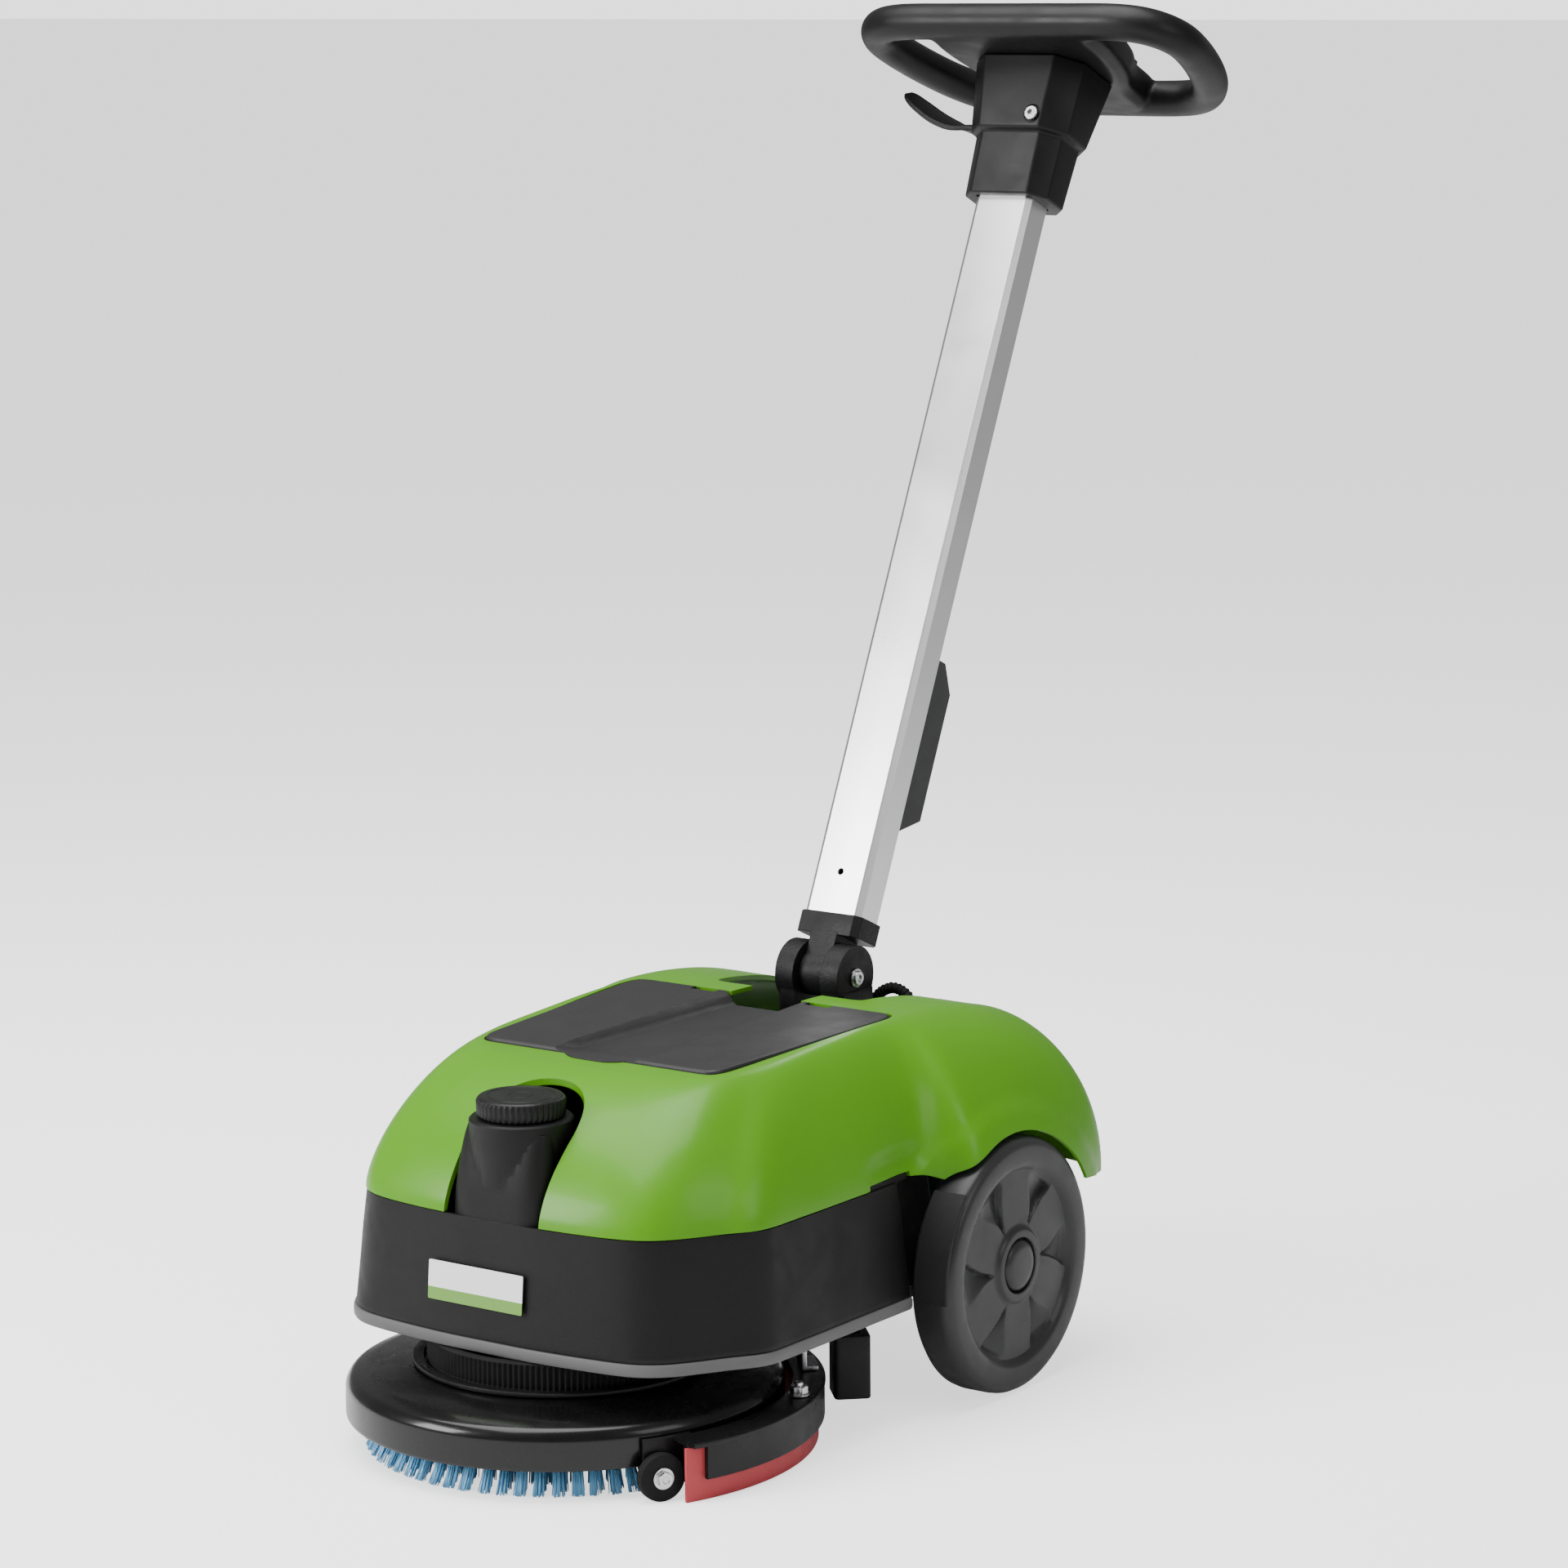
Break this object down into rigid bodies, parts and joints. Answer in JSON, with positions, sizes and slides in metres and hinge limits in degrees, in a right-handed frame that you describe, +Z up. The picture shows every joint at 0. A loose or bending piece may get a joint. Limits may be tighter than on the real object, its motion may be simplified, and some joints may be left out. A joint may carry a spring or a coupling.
{
  "type": "floor scrubber machine",
  "caption": "Compact walk-behind floor scrubber: round brush deck, water tanks under a domed cover, rear wheels, folding mast with ring handle and a swinging squeegee.",
  "frame": {"origin": "on the floor, under the middle of the whole machine", "axes": "+Z up, the brush end faces -Y, +X is the machine's left-right axis"},
  "size_m": [0.4202, 0.8693, 0.978],
  "materials": {
    "green_plastic": "satin moulded",
    "black_plastic": "fine grain",
    "satin_black": "satin",
    "grey_plastic": "satin",
    "grey_edge": "matt",
    "aluminium": "anodised",
    "steel": "bright",
    "zinc": "zinc plated",
    "cast": "textured black paint",
    "bristle": "nylon bristle",
    "red_rubber": "matt",
    "rubber": "matt",
    "label": "printed film",
    "motor": "satin",
    "board": "solder mask"
  },
  "bodies": {
    "chassis": {"chassis_plate": "grey_edge", "lower_tank": "black_plastic", "rear_housing": "black_plastic", "tank_cover": "green_plastic", "recovery_tank": "black_plastic", "lid_seal": "rubber", "deck_shroud": "satin_black", "deck_collar": "rubber", "gearbox": "motor", "brush_motor": "motor", "wheel_axle": "steel", "bearing_block_left": "grey_plastic", "bearing_block_right": "grey_plastic", "wheel_flap_left": "grey_plastic", "wheel_flap_right": "grey_plastic", "battery_left": "grey_plastic", "battery_right": "grey_plastic", "suction_motor": "motor", "water_pump": "motor", "control_board": "board", "hinge_bracket": "cast", "hinge_pin": "steel", "bay_tray": "green_plastic", "front_label": "label", "cable_conduit": "rubber"},
    "lid": {"tank_lid": "black_plastic"},
    "cap": {"filler_cap": "black_plastic"},
    "mast": {"mast_foot": "cast", "mast_tube": "aluminium", "mast_box": "grey_plastic", "head_housing": "black_plastic", "head_screw": "steel", "handle_ring": "black_plastic", "console_panel": "grey_plastic", "battery_gauge": "board"},
    "lever": {"paddle_lever": "black_plastic"},
    "key_brush": {"switch_brush": "rubber"},
    "key_suction": {"switch_suction": "rubber"},
    "brush": {"brush_hub": "black_plastic", "brush_bristles": "bristle"},
    "squeegee": {"squeegee_holder": "satin_black", "squeegee_blade_front": "red_rubber", "squeegee_blade_rear": "red_rubber", "squeegee_ring": "zinc", "squeegee_port": "cast", "squeegee_nut_1": "steel", "squeegee_nut_2": "steel", "roller_bolt_front": "steel", "roller_bolt_rear": "steel"},
    "front_roller": {"roller_front": "rubber"},
    "rear_roller": {"roller_rear": "rubber"},
    "left_wheel": {"wheel_left": "grey_plastic", "wheel_cap_left": "grey_plastic"},
    "right_wheel": {"wheel_right": "grey_plastic", "wheel_cap_right": "grey_plastic"}
  },
  "joints": [
    {"name": "mast_fold", "type": "hinge", "parent": "chassis", "child": "mast", "pos_m": [0, 0.0343, 0.272], "axis": [1, 0, 0], "range_deg": [-20, 52]},
    {"name": "lever_pull", "type": "hinge", "parent": "mast", "child": "lever", "pos_m": [-0.04, 0.31835, 0.88324], "axis": [0, 0.91, -0.4147], "range_deg": [0, 12], "stiffness_Nm_per_rad": 0.4, "springref_deg": -17.19},
    {"name": "brush_key", "type": "slide", "parent": "mast", "child": "key_brush", "axis": [0, -0.4147, -0.91], "range_m": [0, 0.0012], "stiffness_N_per_m": 400, "springref_m": -0.002},
    {"name": "suction_key", "type": "slide", "parent": "mast", "child": "key_suction", "axis": [0, -0.4147, -0.91], "range_m": [0, 0.0012], "stiffness_N_per_m": 400, "springref_m": -0.002},
    {"name": "lid_open", "type": "hinge", "parent": "chassis", "child": "lid", "pos_m": [0, -0.0403, 0.2688], "axis": [-1, 0, 0], "range_deg": [0, 72]},
    {"name": "cap_lift", "type": "slide", "parent": "chassis", "child": "cap", "axis": [0, 0, 1], "range_m": [0, 0.04]},
    {"name": "brush_spin", "type": "hinge", "parent": "chassis", "child": "brush", "pos_m": [0, -0.2837, 0.03], "axis": [0, 0, 1], "continuous": true},
    {"name": "squeegee_swing", "type": "hinge", "parent": "chassis", "child": "squeegee", "pos_m": [0, -0.2837, 0.06], "axis": [0, 0, 1], "range_deg": [-8, 94]},
    {"name": "front_roller_spin", "type": "hinge", "parent": "squeegee", "child": "front_roller", "pos_m": [0.14141, -0.36273, 0.0165], "axis": [0.8729, -0.4879, 0], "continuous": true},
    {"name": "rear_roller_spin", "type": "hinge", "parent": "squeegee", "child": "rear_roller", "pos_m": [-0.06898, -0.13712, 0.0165], "axis": [-0.4258, 0.9048, 0], "continuous": true},
    {"name": "left_wheel_spin", "type": "hinge", "parent": "chassis", "child": "left_wheel", "pos_m": [0, -0.0207, 0.093], "axis": [1, 0, 0], "continuous": true},
    {"name": "right_wheel_spin", "type": "hinge", "parent": "chassis", "child": "right_wheel", "pos_m": [0, -0.0207, 0.093], "axis": [1, 0, 0], "continuous": true}
  ]
}
